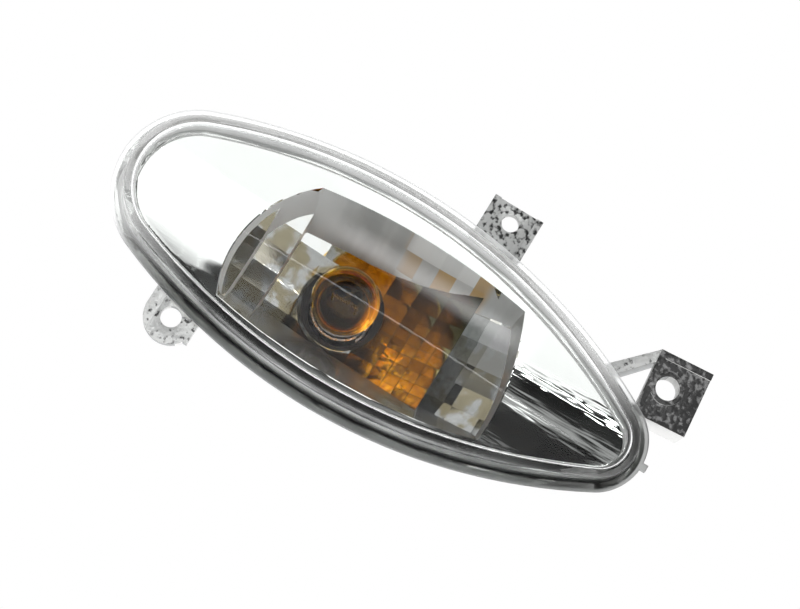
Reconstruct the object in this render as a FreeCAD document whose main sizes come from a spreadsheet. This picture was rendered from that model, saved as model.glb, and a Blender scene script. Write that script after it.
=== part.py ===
import FreeCAD, Part
import math
import os
import re
import Sketcher
from FreeCAD import Placement, Rotation, Vector

# Indicator lamp for a vehicle body panel. Millimetres.
# X runs along the lens towards its narrow tip, Y runs back through the lamp, Z is up.
# The origin is on the bulb axis, in the plane where the lens flange meets the housing.

SIZES = {
    # egg outline of the lens
    "lens_length": 152,
    "big_end_radius": 22,
    "tip_radius": 13.5,
    "flank_radius": 152,
    "outline_shift": 9.5,          # middle of the outline from the bulb axis, towards the tip
    # lens
    "flange_width": 2.2,
    "flange_thickness": 2,
    "lens_wall": 1.8,
    "dome_height": 22,
    "dome_long_radius": 230,
    "dome_cross_radius": 50,
    "dome_shift": 4,               # top of the dome from the bulb axis
    "dome_draft": 3,               # how far the side wall leans in over its height
    "dome_edge_radius": 4,
    "tongue_lean": 0.6,            # the part of that draft that the tongue has inside
    "tongue_depth": 3,
    "tongue_setback": 0.3,
    "gate_width": 1.8,             # moulding gate left at the tip of the flange
    "gate_reach": 1.4,
    # joint between lens and housing
    "rim_setback": 0.8,
    "rim_depth": 6,
    "bead_height": 0.6,
    "groove_clearance": 0.3,
    "rim_lip": 1.1,
    # smooth dish of the reflector
    "dish_depth": 8,
    "dish_long_radius": 450,
    "dish_cross_radius": 55,
    "housing_wall": 2.2,
    # faceted pocket of the reflector
    "pocket_depth": 30,
    "pocket_big_upper_x": -19.5,
    "pocket_big_upper_z": 20.6,
    "pocket_big_lower_x": -27.5,
    "pocket_big_lower_z": -19.5,
    "pocket_tip_upper_x": 41,
    "pocket_tip_upper_z": 20.4,
    "pocket_tip_lower_x": 47.5,
    "pocket_tip_lower_z": -17,
    "pocket_end_radius": 28.5,
    "pocket_side_radius": 180,
    "pocket_tip_radius": 56,
    "lean_end": 1.5,               # how far each wall of the pocket leans in over its depth
    "lean_upper": 10.5,
    "lean_lower": 11,
    "lean_tip": 3,
    "facet_width": 7.5,
    "facet_height": 6,
    "focus_tip": 17,               # focal lengths of the floor: towards the tip, past its step,
    "focus_far": 32,               # towards the big end, and up and down
    "focus_big": 60,
    "focus_height": 17.5,
    "floor_drop": 2.5,             # deepest line of the floor below the bulb axis
    "big_step": 8,                 # how far each next column stands forward at the big end
    "facet_margin": 12,            # how far the facets run on past the pocket before it trims them
    "back_wall": 3,
    "back_long_radius": 90,
    "back_cross_radius": 34,
    "back_shift": -8,
    # hole and neck for the bulb
    "bulb_hole_radius": 11,
    "collar_width": 0.8,
    "collar_rise": 1.5,
    "seat_wall": 2.6,
    "neck_depth": 8.4,
    "neck_wall": 1.5,
    "neck_root": 4,                # how far the neck reaches into the back of the pocket
    # fixing ears
    "ear_front": 3,
    "ear_thickness": 2.5,
    "ear_web": 1.8,
    "ear_lip": 0.8,                # how far the webs stand in front of the plates
    "tip_hole_inset": 3.9,           # from the tip of the outline
    "tip_hole_z": 21.4,
    "tip_hole_radius": 3.1,
    "tip_turn": 5,
    "tip_plate_inboard": 5.5,
    "tip_plate_outboard": 9.1,
    "tip_plate_below": 9.2,
    "tip_plate_above": 8.6,
    "tip_boss_radius": 4.3,
    "tip_boss_depth": 2.5,
    "tip_web_depth": 12,
    "tip_web_root": 17.3,          # from the hole back to where the webs meet the rim
    "tip_arm_root": 21.1,
    "tip_arm_drop": 5.1,
    "tip_arm_width": 3,
    "upper_hole_along": 16.4,      # from the middle of the outline
    "upper_hole_z": 37,
    "upper_hole_radius": 2.3,
    "upper_plate_half": 7.1,
    "upper_plate_above": 4.5,
    "upper_plate_root": 10.8,
    "upper_web_depth": 7,
    "lower_hole_along": -43.8,
    "lower_hole_z": -29.3,
    "lower_hole_radius": 2.7,
    "lower_ear_radius": 7,
    "lower_ear_root": 9,
    "lower_corner_drop": 3.9,
    "lower_lip_start": 3.7,        # from the hole to the raised side of the ear
    "lower_web_depth": 6,
    # bulb holder
    "nose_radius": 13,
    "nose_clearance": 0.2,
    "nose_gap": 0.4,
    "seal_height": 1,
    "seal_width": 2.6,
    "holder_flange_radius": 17.5,
    "holder_flange_thickness": 3,
    "holder_body_radius": 11.8,
    "holder_body_length": 9,
    "holder_back_wall": 3,
    "holder_mouth_radius": 9,
    "holder_mouth_depth": 7,
    "lug_reach": 1.2,
    "lug_thickness": 1.9,
    "lug_setback": 1.3,
    "lug_angle": 24,
    "lug_entry_angle": 30,
    "lug_clearance": 0.3,
    "grip_span": 32,
    "grip_thickness": 4,
    "grip_length": 8,
    # bayonet sleeve
    "sleeve_inner_radius": 7.75,
    "sleeve_wall": 0.55,
    "sleeve_clearance": 0.1,
    "sleeve_length": 22,
    "slot_clearance": 0.2,
    "slot_turn": 40,
    "slot_entry_turn": 20,
    "slot_start": -8,
    # sprung contact
    "contact_foot_thickness": 0.8,
    "contact_foot_radius": 6.6,
    "spring_length": 4,
    "spring_radius": 5,
    "spring_wire_radius": 0.35,
    "spring_turns": 3,
    "plunger_flange_radius": 6,
    "plunger_flange_thickness": 0.5,
    "plunger_stem_radius": 1.2,
    "plunger_head_radius": 2.2,
    "plunger_head_height": 0.6,
    "contact_plate_radius": 7.5,
    "contact_plate_thickness": 1.6,
    "contact_plate_clearance": 0.1,
    # terminals
    "blade_width": 4.8,
    "blade_thickness": 0.8,
    "blade_length": 8,
    "blade_clearance": 0.1,
    "blade_hole_radius": 0.8,
    "blade_hole_setback": 3,
    "live_blade_height": 3.6,
    "earth_blade_foot": 7,
    # bulb
    "globe_radius": 9,
    "globe_reach": 9,              # centre of the globe ahead of the cap
    "glass_wall": 0.7,
    "glass_neck_radius": 6.7,
    "glass_neck_in_cap": 5.5,
    "cap_radius": 7.5,
    "cap_wall": 0.5,
    "cap_length": 14.3,
    "cap_end_hole_radius": 4,
    "pin_radius": 1,
    "pin_reach": 1,
    "pin_setback": 4.8,
    "insulator_height": 2,
    "insulator_base_radius": 6.2,
    "insulator_top_radius": 3.4,
    "end_contact_height": 1.7,
    "end_contact_radius": 2.6,
    "end_contact_flat": 1.6,
    "stem_disc_thickness": 0.6,
    "stem_flare_length": 3.4,
    "stem_throat_radius": 2.6,
    "pinch_width": 8.6,
    "pinch_thickness": 2.6,
    "pinch_length": 4.4,
    "support_spread": 7,
    "support_radius": 0.35,
    "filament_radius": 0.55,
    "filament_wire_radius": 0.14,
    "filament_turns": 8,
}

doc = FreeCAD.newDocument("indicator_lamp")
sheet = doc.addObject("Spreadsheet::Sheet", "Sizes")
for row, (alias, number) in enumerate(SIZES.items(), start=1):
    sheet.set(f"A{row}", alias)
    sheet.set(f"B{row}", str(number))
    sheet.setAlias(f"B{row}", alias)
doc.recompute()

NODES = []
ALONG_Y = Rotation(Vector(1, 0, 0), -90)      # turns a primitive's Z axis to +Y
FACING_FRONT = Rotation(Vector(1, 0, 0), 90)  # sketch x is X, sketch y is Z
WORD = re.compile(r"[a-z_]{3,}")

# Depths along Y that several pieces share
DOME_TOP = "-dome_height"
NECK_SEAT = "(pocket_depth + seat_wall)"
NECK_END = f"({NECK_SEAT} + neck_depth)"
NOSE_FRONT = f"({NECK_SEAT} + nose_gap)"
FLANGE_FRONT = f"({NECK_END} + seal_height)"
FLANGE_BACK = f"({FLANGE_FRONT} + holder_flange_thickness)"
HOLDER_BACK = f"({FLANGE_BACK} + holder_body_length)"
CAVITY_FLOOR = f"({HOLDER_BACK} - holder_back_wall)"
FOOT_FRONT = f"({CAVITY_FLOOR} - contact_foot_thickness)"
PLUNGER_BACK = f"({FOOT_FRONT} - spring_length)"
PLATE_BACK = f"({PLUNGER_BACK} - plunger_flange_thickness)"
PLATE_FRONT = f"({PLATE_BACK} - contact_plate_thickness)"
BULB_END = f"({PLATE_FRONT} - plunger_head_height)"
INSULATOR_END = f"({BULB_END} - end_contact_height)"
CAP_END = f"({INSULATOR_END} - insulator_height)"
CAP_FRONT = f"({CAP_END} - cap_length)"
PIN_PLANE = f"({CAP_END} - pin_setback)"
GLOBE_CENTRE = f"({CAP_FRONT} - globe_reach)"
GLASS_END = f"({CAP_FRONT} + glass_neck_in_cap)"
STEM_THROAT = f"({GLASS_END} - stem_flare_length)"
PINCH_FRONT = f"({STEM_THROAT} - pinch_length)"

# Places of the ears' holes along the lens
TIP_HOLE = "(outline_shift + lens_length / 2 - tip_hole_inset)"
UPPER_HOLE = "(outline_shift + upper_hole_along)"
LOWER_HOLE = "(outline_shift + lower_hole_along)"

# Radii that mating pieces share
NECK_BORE = "(nose_radius + nose_clearance)"
LUG_BORE = "(nose_radius + lug_reach + lug_clearance)"
NECK_RADIUS = f"({LUG_BORE} + neck_wall)"
SLEEVE_OUTER = "(sleeve_inner_radius + sleeve_wall)"
GROOVE_INNER = "(flange_width + lens_wall + tongue_lean + groove_clearance)"
DISH_EDGE = f"({GROOVE_INNER} + rim_lip)"


def linked(text):
    """The formula with each size name pointing at its cell."""
    def point(match):
        word = match.group(0)
        return f"Sizes.{word}" if word in SIZES else word
    return WORD.sub(point, text)


def size(text):
    """The formula's value now."""
    return float(sheet.evalExpression(linked(text)))


def bind(item, prop, text):
    item.setExpression(prop, linked(text))


def at(item, x="0", y="0", z="0", turn=None):
    """Places an item at a point given by formulas."""
    if turn is not None:
        item.Placement = Placement(Vector(0, 0, 0), turn)
    for axis, text in zip("xyz", (x, y, z)):
        bind(item, f"Placement.Base.{axis}", text)
    return item


def fix(sketch, kind, place, text):
    """Adds a driving constraint whose value is a formula."""
    index = sketch.addConstraint(Sketcher.Constraint(kind, *place, size(text)))
    sketch.setExpression(f"Constraints[{index}]", linked(text))


def pin_point(sketch, geometry, end, x, y):
    """Holds one end of a line or arc at a point given by formulas."""
    for kind, axis, text in (("DistanceX", -2, x), ("DistanceY", -1, y)):
        if text == "0":
            sketch.addConstraint(Sketcher.Constraint("PointOnObject", geometry, end, axis))
        else:
            fix(sketch, kind, (-1, 1, geometry, end), text)


def add_polygon(sketch, corners):
    """Closed outline of straight lines through corners given by formulas."""
    points = [Vector(size(x), size(y), 0) for x, y in corners]
    lines = []
    for start, end in zip(points, points[1:] + points[:1]):
        lines.append(sketch.addGeometry(Part.LineSegment(start, end)))
    for line, (x, y) in zip(lines, corners):
        pin_point(sketch, line, 1, x, y)
    for line, following in zip(lines, lines[1:] + lines[:1]):
        sketch.addConstraint(Sketcher.Constraint("Coincident", line, 2, following, 1))


def body_sketch(body, plane, name):
    sketch = body.newObject("Sketcher::SketchObject", name)
    support = [item for item in body.Origin.OriginFeatures if item.Role == plane][0]
    sketch.AttachmentSupport = (support, [""])
    sketch.MapMode = "FlatFace"
    return sketch


def revolve(body, sketch):
    turned = body.newObject("PartDesign::Revolution", f"{body.Name}_turned")
    turned.Profile = sketch
    turned.ReferenceAxis = (sketch, ["V_Axis"])
    turned.Angle = 360
    body.Tip = turned
    return body


def turned_body(name, corners):
    """A body turned about the bulb axis from a profile of (radius, depth) corners."""
    body = doc.addObject("PartDesign::Body", name)
    sketch = body_sketch(body, "XY_Plane", f"{name}_profile")
    add_polygon(sketch, corners)
    return revolve(body, sketch)


def front_sketch(name, depth):
    sketch = doc.addObject("Sketcher::SketchObject", name)
    return at(sketch, y=depth, turn=FACING_FRONT)


def extrude(name, sketch, length):
    solid = doc.addObject("Part::Extrusion", name)
    solid.Base = sketch
    solid.DirMode = "Custom"
    solid.Dir = Vector(0, 1, 0)
    solid.Solid = True
    bind(solid, "LengthFwd", length)
    return solid


def loft(name, sections):
    solid = doc.addObject("Part::Loft", name)
    solid.Sections = sections
    solid.Solid = True
    solid.Ruled = True
    return solid


def boolean(kind, name, base, tool):
    result = doc.addObject(kind, name)
    result.Base = base
    result.Tool = tool
    return result


def common(name, base, tool):
    return boolean("Part::Common", name, base, tool)


def cut(name, base, tool):
    return boolean("Part::Cut", name, base, tool)


def fuse(name, shapes):
    result = doc.addObject("Part::MultiFuse", name)
    result.Shapes = shapes
    return result


def box(name, low, high):
    """A block between two corners given by formulas."""
    block = doc.addObject("Part::Box", name)
    for prop, start, end in zip(("Length", "Width", "Height"), low, high):
        bind(block, prop, f"({end}) - ({start})")
    return at(block, *low)


def drum(name, radius, front, back, x="0", z="0", angle="360", start_angle=0):
    """A round bar, or a sector of one, along Y."""
    bar = doc.addObject("Part::Cylinder", name)
    bind(bar, "Radius", radius)
    bind(bar, "Height", f"({back}) - ({front})")
    bind(bar, "Angle", angle)
    return at(bar, x, front, z, turn=ALONG_Y * Rotation(Vector(0, 0, 1), start_angle))


def crown(name, middle, top, long_radius, cross_radius, front):
    """A ring whose outer side is a surface curved both along and across the lens."""
    ring = doc.addObject("Part::Torus", name)
    bind(ring, "Radius1", f"({long_radius}) - ({cross_radius})")
    bind(ring, "Radius2", cross_radius)
    centre = f"({top}) + ({long_radius})" if front else f"({top}) - ({long_radius})"
    return at(ring, x=middle, y=centre)


def add_egg(sketch, inset):
    """The lens outline as four tangent arcs, drawn in by an even inset."""
    big_x = "(outline_shift - lens_length / 2 + big_end_radius)"
    tip_x = "(outline_shift + lens_length / 2 - tip_radius)"
    big_r, tip_r, flank_r = "big_end_radius", "tip_radius", "flank_radius"
    span = size(tip_x) - size(big_x)
    to_big = size(flank_r) - size(big_r)
    to_tip = size(flank_r) - size(tip_r)
    along = (to_big ** 2 - to_tip ** 2 + span ** 2) / (2 * span)
    drop = math.sqrt(to_big ** 2 - along ** 2)
    flank_x = size(big_x) + along
    big_angle = math.atan2(drop, -along)
    tip_angle = math.atan2(drop, span - along)

    def arc(x, y, radius, start, end):
        circle = Part.Circle(Vector(x, y, 0), Vector(0, 0, 1), size(f"{radius} - ({inset})"))
        return sketch.addGeometry(Part.ArcOfCircle(circle, start, end))

    big = arc(size(big_x), 0, big_r, big_angle, 2 * math.pi - big_angle)
    upper = arc(flank_x, -drop, flank_r, tip_angle, big_angle)
    tip = arc(size(tip_x), 0, tip_r, -tip_angle, tip_angle)
    lower = arc(flank_x, drop, flank_r, -big_angle, -tip_angle)
    for first, second in ((big, upper), (upper, tip), (tip, lower), (lower, big)):
        sketch.addConstraint(Sketcher.Constraint("Tangent", first, 1, second, 2))
    pin_point(sketch, big, 3, big_x, "0")
    pin_point(sketch, tip, 3, tip_x, "0")
    fix(sketch, "Radius", (big,), f"{big_r} - ({inset})")
    fix(sketch, "Radius", (tip,), f"{tip_r} - ({inset})")
    fix(sketch, "Radius", (upper,), f"{flank_r} - ({inset})")
    sketch.addConstraint(Sketcher.Constraint("Equal", upper, lower))


def egg(name, inset, depth):
    sketch = front_sketch(name, depth)
    add_egg(sketch, inset)
    return sketch


def egg_ring(name, outer, inner, depth, length):
    sketch = egg(f"{name}_outline", outer, depth)
    add_egg(sketch, inner)
    return extrude(name, sketch, length)


def round_crown_edge(name, base, radius):
    """Rounds the edge between the side wall and the crowned face."""
    doc.recompute()
    shape = base.Shape
    crowned = [face for face in shape.Faces if isinstance(face.Surface, Part.Toroid)]
    rims = [edge for face in crowned for edge in face.Edges]
    rounded = doc.addObject("Part::Fillet", name)
    rounded.Base = base
    picked = []
    for index, edge in enumerate(shape.Edges, start=1):
        if any(edge.isSame(rim) for rim in rims):
            picked.append((index, size(radius), size(radius)))
    rounded.Edges = picked
    return rounded


def dome(name, foot, foot_depth, top, long_radius, cross_radius, edge_radius):
    """A drafted egg-shaped block with a crowned front face and a rounded edge."""
    sides = loft(f"{name}_sides", [
        egg(f"{name}_foot", foot, foot_depth),
        egg(f"{name}_head", f"{foot} + dome_draft", f"{top} - flange_thickness"),
    ])
    face = crown(f"{name}_crown", "dome_shift", top, long_radius, cross_radius, front=True)
    return round_crown_edge(f"{name}_round", common(name, sides, face), edge_radius)


def node(name, item):
    item.Label = name
    NODES.append(item)


# Lens: flange, drafted dome and a tongue that sits in the groove of the housing
flange = extrude("lens_flange", egg("flange_outline", "0", "-flange_thickness"), "flange_thickness")
tongue_outline = egg("tongue_outline", "flange_width + tongue_setback", "-flange_thickness")
tongue = extrude("lens_tongue", tongue_outline, "flange_thickness + tongue_depth")
gate_root = "outline_shift + lens_length / 2 - flange_width"
gate = box("lens_gate", (gate_root, "-flange_thickness", "-gate_width / 2"),
           ("outline_shift + lens_length / 2 + gate_reach", "0", "gate_width / 2"))
outer_dome = dome("dome_outside", "flange_width", "-flange_thickness / 2", DOME_TOP,
                  "dome_long_radius", "dome_cross_radius", "dome_edge_radius")
inner_dome = dome("dome_inside", "flange_width + lens_wall", "tongue_depth + flange_thickness / 2",
                  f"({DOME_TOP} + lens_wall)", "dome_long_radius - lens_wall",
                  "dome_cross_radius - lens_wall", "dome_edge_radius - lens_wall")
lens_outside = fuse("lens_outside", [flange, tongue, gate, outer_dome])
node("lens", cut("lens_solid", lens_outside, inner_dome))

# Sealant bead in the bottom of the groove
node("lens_seal", egg_ring("bead", "flange_width", GROOVE_INNER, "tongue_depth", "bead_height"))


# Facets of the pocket's floor
TIP_COLUMNS = 4     # columns before the floor steps back
BIG_COLUMNS = 3     # columns at the big end, each a step ahead of the last
BIG_OFFSET = 0.5    # part of a column by which those at the big end stand off the bulb axis


def facet_block(name):
    """The space in front of the floor: flat facets on a grid of columns and rows.

    The floor is a paraboloid with its own focal length each way from the bulb. Towards the tip it
    steps back to a longer one, and towards the big end each column steps forward. Its depth is a
    function of x plus a function of z, so the four corners of each facet lie in one plane."""
    width, height = size("facet_width"), size("facet_height")
    last = math.ceil(size("pocket_tip_lower_x + facet_margin") / width)
    reach = math.ceil(size("pocket_tip_upper_z + facet_margin") / height)

    def edge_of(column, focus, ahead=0):
        x = column * width
        return x, size("pocket_depth") - x * x / (4 * size(focus)) - ahead

    columns = []
    for column in range(BIG_COLUMNS, 0, -1):
        ahead = (column - 1) * size("big_step")
        inner = -column - BIG_OFFSET
        columns += [edge_of(inner - 1, "focus_big", ahead), edge_of(inner, "focus_big", ahead)]
    columns += [edge_of(column, "focus_tip") for column in range(TIP_COLUMNS + 1)]
    columns += [edge_of(column, "focus_far") for column in range(TIP_COLUMNS, last + 1)]
    rows = [(row * height - size("floor_drop"), (row * height) ** 2 / (4 * size("focus_height")))
            for row in range(-reach, reach + 1)]
    front = min(depth for x, depth in columns) - rows[-1][1] - size("dome_height")

    def floor(column, row):
        return Vector(column[0], column[1] - row[1], row[0])

    def cap(column, row):
        return Vector(column[0], front, row[0])

    def plate(points):
        return Part.Face(Part.makePolygon(points + points[:1]))

    faces = []
    for left, right in zip(columns, columns[1:]):
        for low, high in zip(rows, rows[1:]):
            faces.append(plate([floor(left, low), floor(right, low),
                                floor(right, high), floor(left, high)]))
    edges = [[(column, row) for column in columns] for row in (rows[0], rows[-1])]
    edges += [[(column, row) for row in rows] for column in (columns[0], columns[-1])]
    for edge in edges:
        ends = [cap(*edge[-1]), cap(*edge[0])]
        faces.append(plate([floor(*place) for place in edge] + ends))
    faces.append(plate([cap(columns[0], rows[0]), cap(columns[-1], rows[0]),
                        cap(columns[-1], rows[-1]), cap(columns[0], rows[-1])]))
    block = doc.addObject("Part::Feature", name)
    solid = Part.Solid(Part.Shell(faces))
    if solid.Volume < 0:
        solid.reverse()
    block.Shape = solid
    block.Placement = Placement()
    return block


def pocket_outline(name, depth, grow, lean):
    """Barrel outline of the pocket: four arcs, grown or leaned in."""
    def shifted(corner, end_sign, side_sign):
        end = "lean_tip" if end_sign > 0 else "lean_end"
        side = "lean_upper" if side_sign > 0 else "lean_lower"
        x = f"pocket_{corner}_x + {end_sign} * ({grow} - {lean} * {end})"
        z = f"pocket_{corner}_z + {side_sign} * ({grow} - {lean} * {side})"
        return x, z

    corners = [shifted("big_lower", -1, -1), shifted("tip_lower", 1, -1),
               shifted("tip_upper", 1, 1), shifted("big_upper", -1, 1)]
    radii = [f"pocket_side_radius + {grow}", f"pocket_tip_radius + {grow}",
             f"pocket_side_radius + {grow}", f"pocket_end_radius + {grow} - {lean} * lean_end"]
    sketch = front_sketch(name, depth)
    points = [Vector(size(x), size(z), 0) for x, z in corners]
    sides = []
    for start, end, radius in zip(points, points[1:] + points[:1], radii):
        chord = end - start
        outward = Vector(chord.y, -chord.x, 0).normalize()
        half = chord.Length / 2
        rise = size(radius) - math.sqrt(size(radius) ** 2 - half ** 2)
        middle = (start + end) / 2 + outward * rise
        sides.append(sketch.addGeometry(Part.Arc(start, middle, end)))
    for side, (x, z) in zip(sides, corners):
        pin_point(sketch, side, 1, x, z)
    for side, following in zip(sides, sides[1:] + sides[:1]):
        sketch.addConstraint(Sketcher.Constraint("Coincident", side, 2, following, 1))
    for side, radius in zip(sides, radii):
        fix(sketch, "Radius", (side,), radius)
    return sketch


def pocket_block(name, front, back, grow):
    return loft(name, [pocket_outline(f"{name}_front", front, grow, "0"),
                       pocket_outline(f"{name}_back", back, grow, "1")])


# Housing, solid at first: rim, dish, pocket, neck
rim = extrude("housing_rim", egg("rim_outline", "rim_setback", "0"), "rim_depth")
dish_outline = egg("dish_sides_outline", f"{DISH_EDGE} - housing_wall", "flange_thickness")
dish_crown = crown("dish_back_crown", "outline_shift", "dish_depth + housing_wall",
                   "dish_long_radius + housing_wall", "dish_cross_radius + housing_wall", front=False)
dish_back = common("dish_back", extrude("dish_sides", dish_outline, "pocket_depth"), dish_crown)
pocket_sides = pocket_block("pocket_sides", "flange_thickness", "pocket_depth + 2 * back_wall",
                            "housing_wall")
pocket_back = common("pocket_back", pocket_sides,
                     crown("pocket_back_crown", "back_shift", "pocket_depth + back_wall",
                           "back_long_radius", "back_cross_radius", front=False))
neck = drum("neck", NECK_RADIUS, "pocket_depth - neck_root", NECK_END)

# Ears, each drawn about its own hole
EAR_BACK = "(ear_front + ear_thickness)"
LIP_FRONT = "(ear_front - ear_lip)"


def ear(name, x, pieces, turn=0):
    """Joins the pieces of an ear and sets it in place, turned about its hole."""
    joined = fuse(f"{name}_ear", pieces)
    return at(joined, x=x, z=f"{name}_hole_z", turn=Rotation(Vector(0, 1, 0), -turn))


tip_left, tip_right = "-tip_plate_inboard", "tip_plate_outboard"
tip_low, tip_high = "-tip_plate_below", "tip_plate_above"
tip_back = "(ear_front + tip_web_depth)"
arm_outline = front_sketch("tip_arm_outline", "ear_front")
add_polygon(arm_outline, [
    ("-tip_arm_root", "-tip_arm_drop"), ("tip_arm_width - tip_arm_root", "-tip_arm_drop - ear_web"),
    (f"{tip_left} + ear_web", f"{tip_high} - ear_web"), (tip_left, tip_high)])
tip_ear = ear("tip", TIP_HOLE, [
    box("tip_plate", (tip_left, "ear_front", tip_low), (tip_right, EAR_BACK, tip_high)),
    drum("tip_boss", "tip_boss_radius", LIP_FRONT, f"{EAR_BACK} + tip_boss_depth"),
    box("tip_lower_web", ("-tip_web_root", "ear_front", tip_low),
        (tip_right, tip_back, f"{tip_low} + ear_web")),
    box("tip_upper_web", (tip_left, LIP_FRONT, f"{tip_high} - ear_web"), (tip_right, tip_back, tip_high)),
    box("tip_inboard_lip", (tip_left, LIP_FRONT, tip_low), (f"{tip_left} + ear_web", EAR_BACK, tip_high)),
    extrude("tip_arm", arm_outline, "tip_web_depth"),
], size("tip_turn"))

upper_left, upper_right = "-upper_plate_half", "upper_plate_half"
upper_low, upper_high = "-upper_plate_root", "upper_plate_above"
upper_pieces = [
    box("upper_plate", (upper_left, "ear_front", upper_low), (upper_right, EAR_BACK, upper_high))]
for name, start in (("upper_web_big", upper_left), ("upper_web_tip", f"({upper_right} - ear_web)")):
    upper_pieces.append(box(name, (start, LIP_FRONT, upper_low),
                            (f"{start} + ear_web", "ear_front + upper_web_depth", upper_high)))
upper_ear = ear("upper", UPPER_HOLE, upper_pieces)

lower_left, lower_right = "-lower_ear_radius", "lower_ear_radius"
lip_end = "-lower_lip_start"
lower_lip = common("lower_lip", drum("lower_lip_round", "lower_ear_radius", LIP_FRONT, EAR_BACK),
                   box("lower_lip_side", (lower_left, LIP_FRONT, lower_left), (lip_end, EAR_BACK, "0")))
lower_ear = ear("lower", LOWER_HOLE, [
    drum("lower_pad", "lower_ear_radius", "ear_front", EAR_BACK),
    box("lower_root", (lower_left, "ear_front", "0"), (lower_right, EAR_BACK, "lower_ear_root")),
    box("lower_corner", ("0", "ear_front", "-lower_corner_drop"), (lower_right, EAR_BACK, "0")),
    lower_lip,
    box("lower_lip_root", (lower_left, LIP_FRONT, "0"), (lip_end, EAR_BACK, "lower_ear_root")),
    box("lower_web", (lower_left, LIP_FRONT, "0"),
        (f"{lower_left} + ear_web", "ear_front + lower_web_depth", "lower_ear_root")),
])

solid_housing = fuse("solid_housing", [rim, dish_back, pocket_back, neck, tip_ear, upper_ear, lower_ear])

# What is taken out of the housing
groove = egg_ring("groove", "flange_width", GROOVE_INNER, "-flange_thickness",
                  "flange_thickness + tongue_depth + bead_height")
dish_room = extrude("dish_room", egg("dish_edge", DISH_EDGE, "-flange_thickness"), "pocket_depth")
dish = common("dish", dish_room, crown("dish_crown", "outline_shift", "dish_depth",
                                       "dish_long_radius", "dish_cross_radius", front=False))
pocket_room = pocket_block("pocket_room", "0", "pocket_depth + back_wall / 2", "0")
pocket = common("pocket", pocket_room, facet_block("facets"))
hollow = cut("hollow_housing", solid_housing, fuse("reflector_space", [groove, dish, pocket]))

collar_front = "pocket_depth - collar_rise"
collar = drum("collar", "bulb_hole_radius + collar_width", collar_front, NECK_SEAT)
bores = [
    drum("bulb_hole", "bulb_hole_radius", "0", f"{NECK_END} + neck_wall"),
    drum("neck_bore", NECK_BORE, NECK_SEAT, f"{NECK_END} + neck_wall"),
]
LUGS = 3
LUG_STEP = 360 / LUGS
lug_front = f"({NOSE_FRONT} + lug_setback)"
bores.append(drum("lug_track", LUG_BORE, f"{lug_front} - lug_clearance",
                  f"{lug_front} + lug_thickness + lug_clearance"))
for index in range(LUGS):
    bores.append(drum(f"lug_entry_{index}", LUG_BORE, lug_front, f"{NECK_END} + neck_wall",
                      angle="lug_entry_angle", start_angle=index * LUG_STEP + LUG_STEP / 2))
for name, x in (("tip", TIP_HOLE), ("upper", UPPER_HOLE), ("lower", LOWER_HOLE)):
    bores.append(drum(f"{name}_hole", f"{name}_hole_radius", "0", tip_back, x, f"{name}_hole_z"))
housing = cut("housing_solid", fuse("housing_with_collar", [hollow, collar]), fuse("bores", bores))
node("reflector_housing", housing)

# Bulb holder
holder_outside = turned_body("holder_outside", [
    ("0", NOSE_FRONT), ("nose_radius", NOSE_FRONT), ("nose_radius", FLANGE_FRONT),
    ("holder_flange_radius", FLANGE_FRONT), ("holder_flange_radius", FLANGE_BACK),
    ("holder_body_radius", FLANGE_BACK), ("holder_body_radius", HOLDER_BACK), ("0", HOLDER_BACK)])
mouth_end = f"({NOSE_FRONT} + holder_mouth_depth)"
sleeve_bore = f"({SLEEVE_OUTER} + sleeve_clearance)"
holder_cavity = turned_body("holder_cavity", [
    ("0", f"{NOSE_FRONT} - nose_gap"), ("holder_mouth_radius", f"{NOSE_FRONT} - nose_gap"),
    ("holder_mouth_radius", mouth_end), (sleeve_bore, mouth_end), (sleeve_bore, CAVITY_FLOOR),
    ("0", CAVITY_FLOOR)])
lugs = [drum(f"lug_{index}", "nose_radius + lug_reach", lug_front, f"{lug_front} + lug_thickness",
             angle="lug_angle", start_angle=index * LUG_STEP) for index in range(LUGS)]
grip = box("grip", ("-grip_span / 2", FLANGE_BACK, "-grip_thickness / 2"),
           ("grip_span / 2", f"{FLANGE_BACK} + grip_length", "grip_thickness / 2"))

BLADE_END = f"({HOLDER_BACK} + blade_length)"
live_low = "(live_blade_height - blade_thickness / 2)"
earth_low = f"(-{SLEEVE_OUTER} - blade_thickness)"
earth_front = f"({CAVITY_FLOOR} - earth_blade_foot)"


def blade(name, front, low, clearance):
    return box(name, (f"-blade_width / 2 - {clearance}", f"{front} - {clearance}", f"{low} - {clearance}"),
               (f"blade_width / 2 + {clearance}", BLADE_END, f"{low} + blade_thickness + {clearance}"))


slots = [blade("live_slot", FOOT_FRONT, live_low, "blade_clearance"),
         blade("earth_slot", earth_front, earth_low, "blade_clearance")]
holder = cut("holder_solid", fuse("holder_with_lugs", [holder_outside, grip] + lugs),
             fuse("holder_space", [holder_cavity] + slots))
node("bulb_holder_body", holder)

node("holder_seal", turned_body("seal_ring", [
    (NECK_BORE, NECK_END), (f"{NECK_BORE} + seal_width", NECK_END),
    (f"{NECK_BORE} + seal_width", FLANGE_FRONT), (NECK_BORE, FLANGE_FRONT)]))

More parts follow.
